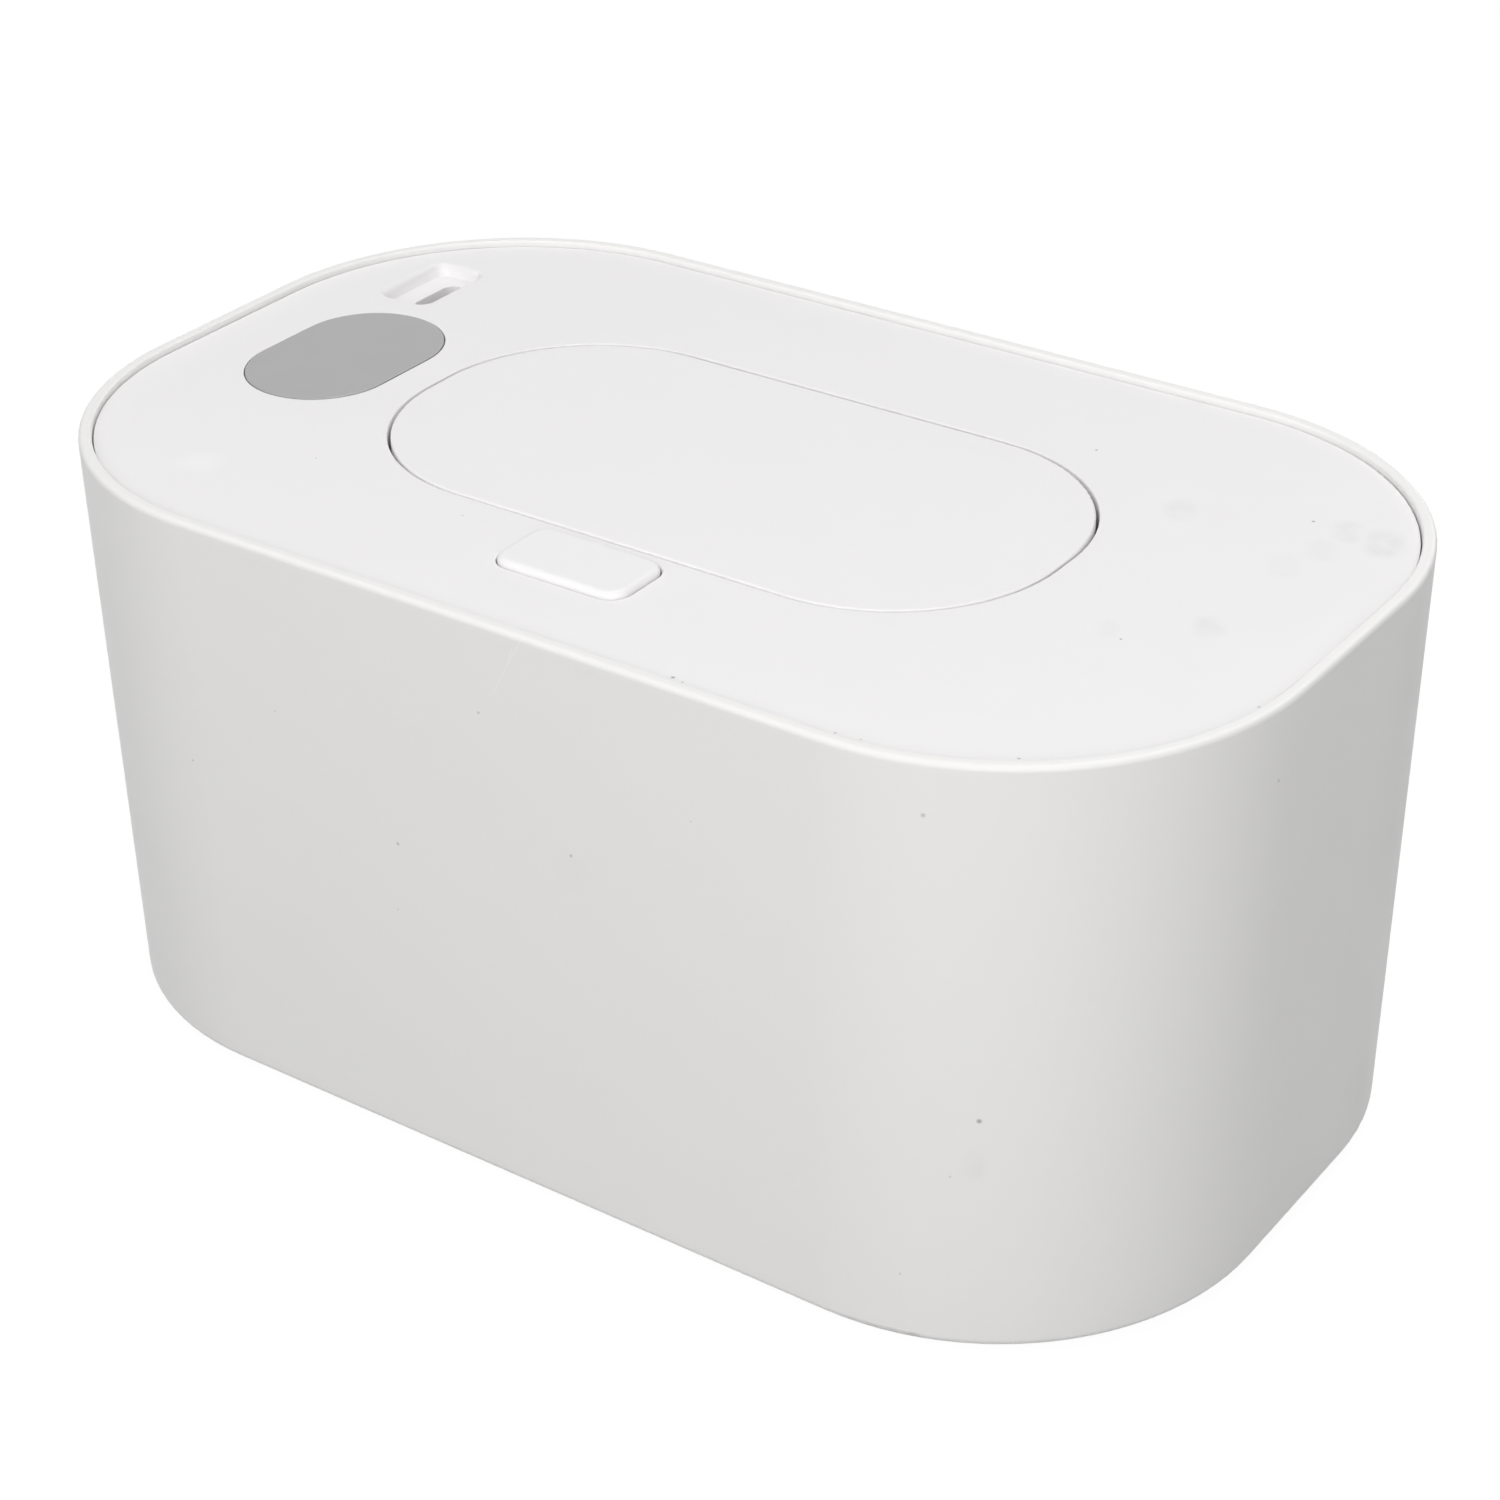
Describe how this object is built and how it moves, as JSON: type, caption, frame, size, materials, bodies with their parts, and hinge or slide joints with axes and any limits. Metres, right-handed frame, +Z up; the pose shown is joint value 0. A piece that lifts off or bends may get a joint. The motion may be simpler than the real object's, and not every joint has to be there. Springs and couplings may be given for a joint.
{
  "type": "baby wipe warmer",
  "caption": "White baby wipe warmer: open-topped box with a lift-off heating lid, sprung flip lid over the mouth, release button, grey display window and power socket.",
  "frame": {"origin": "on the surface it stands on, under the middle of the case", "axes": "+X along the length, -Y the front with the release button, +Z up"},
  "size_m": [0.2, 0.12, 0.0948],
  "materials": {
    "case_white": "satin-gloss moulded white",
    "panel_white": "fine matt moulded white",
    "flip_white": "fine matt moulded white",
    "button_white": "satin moulded white",
    "inner_white": "plain moulded white",
    "window_grey": "smooth translucent grey",
    "silicone_white": "soft white silicone",
    "foot_rubber": "grey rubber",
    "heater_aluminium": "brushed",
    "film_amber": "amber film",
    "pad_felt": "needled felt",
    "fuse_body": "ceramic",
    "sensor_bead": "dipped bead",
    "heater_lead": "red silicone insulation",
    "sensor_lead": "white insulation",
    "screw_steel": "zinc plated",
    "spring_steel": "drawn wire",
    "pin_steel": "ground",
    "board_green": "solder mask",
    "part_black": "moulded black",
    "display_black": "smoked",
    "socket_steel": "nickel plated"
  },
  "bodies": {
    "case": {"case_shell": "case_white", "rubber_feet": "foot_rubber"},
    "lid": {"top_panel": "panel_white", "lid_gasket": "silicone_white", "display_window": "window_grey", "lid_frame": "inner_white", "heater_plate": "heater_aluminium", "heater_film": "film_amber", "insulation_pad": "pad_felt", "thermal_fuse": "fuse_body", "temperature_sensor": "sensor_bead", "heater_leads": "heater_lead", "sensor_leads": "sensor_lead", "lid_screws": "screw_steel", "heater_screws": "screw_steel", "control_board": "board_green", "board_screws": "screw_steel", "digit_display": "display_black", "touch_spring": "spring_steel", "board_components": "part_black", "socket_shell": "socket_steel", "socket_core": "part_black", "mouth_insert": "silicone_white", "latch_housing": "inner_white", "latch_screws": "screw_steel", "button_springs": "spring_steel", "latch_spring": "spring_steel", "hinge_springs": "spring_steel"},
    "flip_lid": {"flip_cover": "flip_white", "flip_liner": "inner_white", "flip_seal": "silicone_white", "hinge_pins": "pin_steel"},
    "release_button": {"button_cap": "button_white"},
    "latch": {"latch_slider": "inner_white"}
  },
  "joints": [
    {"name": "lid_lift", "type": "slide", "parent": "case", "child": "lid", "axis": [0, 0, 1], "range_m": [0, 0.06]},
    {"name": "flip_hinge", "type": "hinge", "parent": "lid", "child": "flip_lid", "pos_m": [0, 0.032, 0.0912], "axis": [-1, 0, 0], "range_deg": [0, 95], "deforming": ["hinge_springs"]},
    {"name": "button_press", "type": "slide", "parent": "lid", "child": "release_button", "axis": [0, 0, -1], "range_m": [0, 0.0015], "stiffness_N_per_m": 400, "springref_m": -0.002, "deforming": ["button_springs"]},
    {"name": "latch_slide", "type": "slide", "parent": "lid", "child": "latch", "axis": [0, -1, 0], "range_m": [0, 0.0015], "deforming": ["latch_spring"]}
  ],
  "couplings": [
    {"joint": "latch_slide", "follows": "button_press", "ratio": 1}
  ]
}
